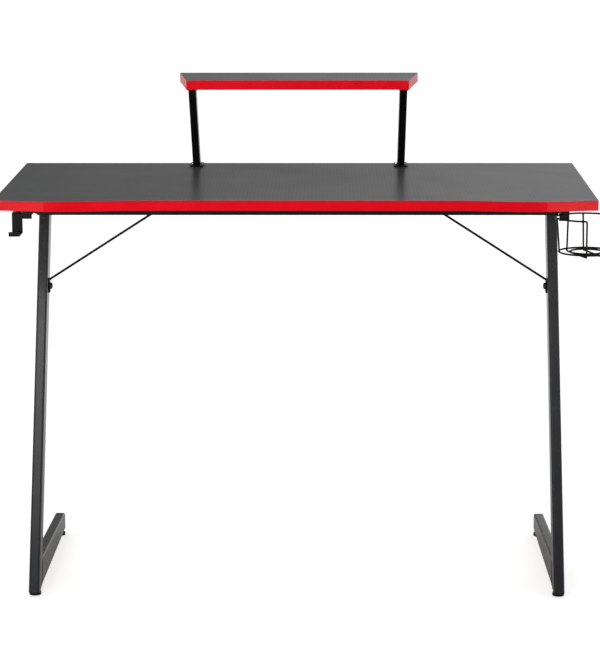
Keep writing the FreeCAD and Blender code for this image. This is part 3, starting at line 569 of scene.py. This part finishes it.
# softened copies: a node's own shape with its raw edges broken
softened = {
    "desktop_edge_band": 0.0002, "shelf_edge_band": 0.0002,
    "front_beam": 0.0006, "rear_beam": 0.0006,
    "left_shelf_base": 0.0005, "right_shelf_base": 0.0005,
    "left_shelf_bracket": 0.0005, "right_shelf_bracket": 0.0005,
    "hook_bracket": 0.0004, "headphone_hook": 0.0004, "cup_bracket": 0.0004,
    "left_brace": 0.0003, "right_brace": 0.0003,
    "arm_end_caps": 0.0007, "foot_end_caps": 0.0007,
}
# angles in degrees: what is merged as flat, what counts as an edge, and what is shaded smooth
softening = {"merge": 1e-6, "flat": 0.5, "edge": 40, "smooth": 35}
smoothUnder = {"red_edge": 9}  # keeps the band's flat ends flat


def pieceName(node):
    first, *rest = node.split("_")
    return first + "".join(word.capitalize() for word in rest)


def placePiece(bm, name, body, slot, smoothAngle):
    mesh = bpy.data.meshes.new(name)
    bmesh.ops.recalc_face_normals(bm, faces=bm.faces)
    bm.to_mesh(mesh)
    bm.free()
    for face in mesh.polygons:
        face.use_smooth = True
    mesh.set_sharp_from_angle(angle=math.radians(smoothAngle))
    mesh.materials.append(materials[slot])
    piece = bpy.data.objects.new(name, mesh)
    bpy.context.scene.collection.objects.link(piece)
    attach(piece, body)
    return piece


def softenNode(node, width):
    bm = bmesh.new()
    bm.from_mesh(nodes[node].data)
    bmesh.ops.remove_doubles(bm, verts=bm.verts, dist=softening["merge"])
    bmesh.ops.dissolve_limit(bm, angle_limit=math.radians(softening["flat"]), verts=bm.verts, edges=bm.edges)
    sharp = math.radians(softening["edge"])
    raw = [e for e in bm.edges if e.is_manifold and e.calc_face_angle() > sharp]
    bmesh.ops.bevel(bm, geom=raw, offset=width, offset_type="OFFSET", segments=2, profile=0.5,
                    affect="EDGES", material=-1, clamp_overlap=True)
    slot = slotOf[node]
    smooth = smoothUnder.get(slot, softening["smooth"])
    piece = placePiece(bm, pieceName(node), bodyOf[node], slot, smooth)
    # flat faces stay flat, the broken edges take the turn
    evenShade = piece.modifiers.new("evenShade", "WEIGHTED_NORMAL")
    evenShade.keep_sharp = True
    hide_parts(node)


for node, width in softened.items():
    softenNode(node, width)
print("edges broken on", len(softened), "pieces")

# weld beads where tubes and plates meet
beadShape = {"sides": 10, "step": 0.6, "end": 0.6, "valley": 0.86, "fewest": 4, "smooth": 60}
frameWeld = {"bead": 0.0021, "halfWidth": 0.0068, "lean": 0.4203, "depth": 0.0434,
             "sideBead": 0.0019, "sideInset": 0.0010, "endGap": 0.0025}
shelfWeld = {"bead": 0.0012, "halfWidth": 0.0060, "depth": 0.0339, "halfDepth": 0.0145}


# a rippled bead: rings that swell and shrink in turn, closed at both ends
def addBead(bm, start, end, radius):
    run = end - start
    count = max(beadShape["fewest"], round(run.length / (radius * beadShape["step"])))
    turn = run.to_track_quat("Z", "Y").to_matrix().to_4x4()
    size = beadShape["end"]
    ring = bmesh.ops.create_circle(bm, cap_ends=False, segments=beadShape["sides"], radius=radius * size,
                                   matrix=Matrix.Translation(start) @ turn)
    loop = list(dict.fromkeys(edge for vert in ring["verts"] for edge in vert.link_edges))
    firstLoop = loop
    for number in range(1, count + 1):
        grown = bmesh.ops.extrude_edge_only(bm, edges=loop)["geom"]
        verts = [g for g in grown if isinstance(g, bmesh.types.BMVert)]
        fresh = set(verts)
        loop = [g for g in grown if isinstance(g, bmesh.types.BMEdge) and set(g.verts) <= fresh]
        wanted = 1.0 if number % 2 else beadShape["valley"]
        if number == count:
            wanted = beadShape["end"]
        bmesh.ops.translate(bm, vec=run / count, verts=verts)
        centre = start + run * (number / count)
        bmesh.ops.scale(bm, vec=(wanted / size,) * 3, space=Matrix.Translation(-centre), verts=verts)
        size = wanted
    bmesh.ops.edgeloop_fill(bm, edges=firstLoop)
    bmesh.ops.edgeloop_fill(bm, edges=loop)


def addCrossBead(bm, middle, y, z, setup):
    half = setup["halfWidth"]
    addBead(bm, Vector((middle - half, y, z)), Vector((middle + half, y, z)), setup["bead"])


def weldFrame(setup):
    bm = bmesh.new()
    for side in ("left", "right"):
        low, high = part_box(side + "_post")
        footLow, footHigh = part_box(side + "_foot")
        footTop, postTop = footHigh[2], high[2]
        middle = (low[0] + high[0]) / 2
        backAtFloor = low[1] + setup["depth"]
        addCrossBead(bm, middle, backAtFloor + setup["lean"] * (footTop - low[2]), footTop, setup)
        for y in (high[1], high[1] - setup["depth"]):
            addCrossBead(bm, middle, y, postTop, setup)
        # seams on the cheeks: up the back of the post beside the foot, and along the arm
        gap = setup["endGap"]
        armFront, armRear = high[1] - setup["depth"] + gap, high[1] - gap
        for x in (low[0] + setup["sideInset"], high[0] - setup["sideInset"]):
            seam = [Vector((x, backAtFloor + setup["lean"] * (z - low[2]), z))
                    for z in (footLow[2] + gap, footTop - gap)]
            addBead(bm, *seam, setup["sideBead"])
            addBead(bm, Vector((x, armFront, postTop)), Vector((x, armRear, postTop)), setup["sideBead"])
    placePiece(bm, "frameWelds", "desk", "frame_paint", beadShape["smooth"])


def weldShelfPosts(setup):
    bm = bmesh.new()
    for side in ("left", "right"):
        low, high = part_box(side + "_shelf_post")
        middle = (low[0] + high[0]) / 2
        for z, rear in ((low[2], high[1]), (high[2], low[1] + setup["depth"])):
            front = rear - setup["depth"]
            for y in (front, rear):
                addCrossBead(bm, middle, y, z, setup)
            centre = (front + rear) / 2
            near, far = centre - setup["halfDepth"], centre + setup["halfDepth"]
            for x in (low[0], high[0]):
                addBead(bm, Vector((x, near, z)), Vector((x, far, z)), setup["bead"])
    placePiece(bm, "shelfPostWelds", "desk", "black_paint", beadShape["smooth"])


# degrees round the cup holder's middle, seen from above, and distances from it
cupWeld = {"spot": 0.0018, "wire": 0.0035,
           "front": -96.6, "left": 135.5, "right": -62.2, "rear": 91.2,
           "leftTop": 121.0, "rearTop": 91.5, "stayTop": -167.0, "stayFoot": -175.5,
           "outside": 0.0560, "inside": 0.0477, "rimRadius": 0.0595, "ringDrop": 0.065}


# where a straight wire passes over a ring round the middle
def meetings(start, end, radius):
    run = end - start
    reach = run.length_squared
    lean = start.dot(run)
    root = lean * lean - reach * (start.length_squared - radius * radius)
    shares = [(-lean + sign * math.sqrt(root)) / reach for sign in (-1, 1)]
    return [start + run * share for share in shares if 0 < share < 1]


def weldCup(setup):
    low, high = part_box("cup_base_ring")
    centre = Vector(((low[0] + high[0]) / 2, (low[1] + high[1]) / 2, (low[2] + high[2]) / 2))
    ringRadius = (high[0] - low[0] - setup["wire"]) / 2
    innerLow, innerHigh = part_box("cup_inner_ring")
    innerRadius = (innerHigh[0] - innerLow[0] - setup["wire"]) / 2

    def spot(degrees, radius, rise):
        angle = math.radians(degrees)
        return Vector((radius * math.cos(angle), radius * math.sin(angle), rise))

    under = -setup["wire"] / 2
    spots = []
    for near, far in (("front", "left"), ("right", "rear")):
        start, end = spot(setup[near], setup["outside"], 0), spot(setup[far], setup["inside"], 0)
        for radius in (ringRadius, innerRadius):
            spots += [point + Vector((0, 0, under)) for point in meetings(start, end, radius)]
        spots.append(spot(setup[far], (setup["inside"] + ringRadius) / 2, 0))
        spots.append(spot(setup[far + "Top"], setup["rimRadius"], setup["ringDrop"] + under))
    spots.append(spot(setup["stayTop"], setup["rimRadius"], setup["ringDrop"] + under))
    spots.append(spot(setup["stayFoot"], ringRadius, -under))
    bm = bmesh.new()
    for point in spots:
        here = Matrix.Translation(centre + point)
        bmesh.ops.create_icosphere(bm, subdivisions=2, radius=setup["spot"], matrix=here)
    placePiece(bm, "cupWelds", "desk", "black_paint", beadShape["smooth"])


weldFrame(frameWeld)
weldShelfPosts(shelfWeld)
weldCup(cupWeld)
print("welds laid")

# levelling feet: ribbed pads on threaded stems
padSetup = {"ribs": 28, "ribInset": 0.0002, "ribDepth": 0.0006, "wallShare": 0.62, "wallMiddleShare": 0.36,
            "baseShare": 0.14, "crownShare": 0.30, "smooth": 40}
stemSetup = {"sides": 24, "core": 0.00252, "crest": 0.00298, "pitch": 0.001, "startShare": 0.6,
             "halfShare": 0.42, "sinkShare": 0.97, "crestShare": 0.15, "spareTurns": 2, "stepsPerTurn": 20,
             "smooth": 30}


def uprightMiddle(low, high):
    return Vector(((low[0] + high[0]) / 2, (low[1] + high[1]) / 2, 0))


def makeGlidePad(node, setup):
    low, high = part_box(node)
    centre = uprightMiddle(low, high)
    radius, height = (high[0] - low[0]) / 2, high[2] - low[2]
    wallMiddle = centre + Vector((0, 0, low[2] + height * setup["wallMiddleShare"]))
    bm = bmesh.new()
    bmesh.ops.create_cone(bm, cap_ends=True, segments=setup["ribs"] * 2, radius1=radius, radius2=radius,
                          depth=height * setup["wallShare"], matrix=Matrix.Translation(wallMiddle))

    def level(face):
        return face.calc_center_median().z

    def bearing(face):
        spot = face.calc_center_median() - centre
        return math.atan2(spot.y, spot.x)

    sides = sorted((f for f in bm.faces if abs(f.normal.z) < 0.5), key=bearing)
    bmesh.ops.inset_individual(bm, faces=sides[::2], thickness=setup["ribInset"], depth=-setup["ribDepth"])
    # the rims of the base and the crown slope
    base = min(bm.faces, key=level)
    bmesh.ops.inset_region(bm, faces=[base], thickness=radius * setup["baseShare"], depth=0.0)
    bmesh.ops.translate(bm, vec=(0, 0, low[2] - level(base)), verts=base.verts)
    crown = max(bm.faces, key=level)
    bmesh.ops.inset_region(bm, faces=[crown], thickness=radius * setup["crownShare"], depth=0.0)
    bmesh.ops.translate(bm, vec=(0, 0, high[2] - level(crown)), verts=crown.verts)
    piece = placePiece(bm, pieceName(node), bodyOf[node], slotOf[node], setup["smooth"])
    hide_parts(node)


def makeGlideStem(node, setup):
    low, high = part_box(node)
    centre = uprightMiddle(low, high)
    length = high[2] - low[2]
    core, crest, pitch = setup["core"], setup["crest"], setup["pitch"]
    bm = bmesh.new()
    coreMiddle = centre + Vector((0, 0, low[2] + length / 2))
    bmesh.ops.create_cone(bm, cap_ends=True, segments=setup["sides"], radius1=core, radius2=core,
                          depth=length, matrix=Matrix.Translation(coreMiddle))
    # the thread's ridge starts as a small outline and climbs round the core
    start = low[2] + pitch * setup["startShare"]
    half = pitch * setup["halfShare"]
    tip = half * setup["crestShare"]
    sunk = core * setup["sinkShare"]
    outline = ((sunk, -half), (crest, -tip), (crest, tip), (sunk, half))
    ridge = [bm.verts.new((centre.x + reach, centre.y, start + rise)) for reach, rise in outline]
    edges = [bm.edges.new(pair) for pair in zip(ridge, ridge[1:] + ridge[:1])]
    turns = int(length / pitch) - setup["spareTurns"]
    steps = setup["stepsPerTurn"]
    bmesh.ops.spin(bm, geom=ridge + edges, cent=centre, axis=(0, 0, 1), dvec=(0, 0, pitch / steps),
                   angle=2 * math.pi * turns, steps=steps * turns, use_merge=False)
    bmesh.ops.holes_fill(bm, edges=[e for e in bm.edges if e.is_boundary], sides=0)
    piece = placePiece(bm, pieceName(node), bodyOf[node], slotOf[node], setup["smooth"])
    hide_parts(node)


for corner in ("left_front", "left_rear", "right_front", "right_rear"):
    makeGlidePad(corner + "_glide", padSetup)
    makeGlideStem(corner + "_glide_stem", stemSetup)
print("glides built")
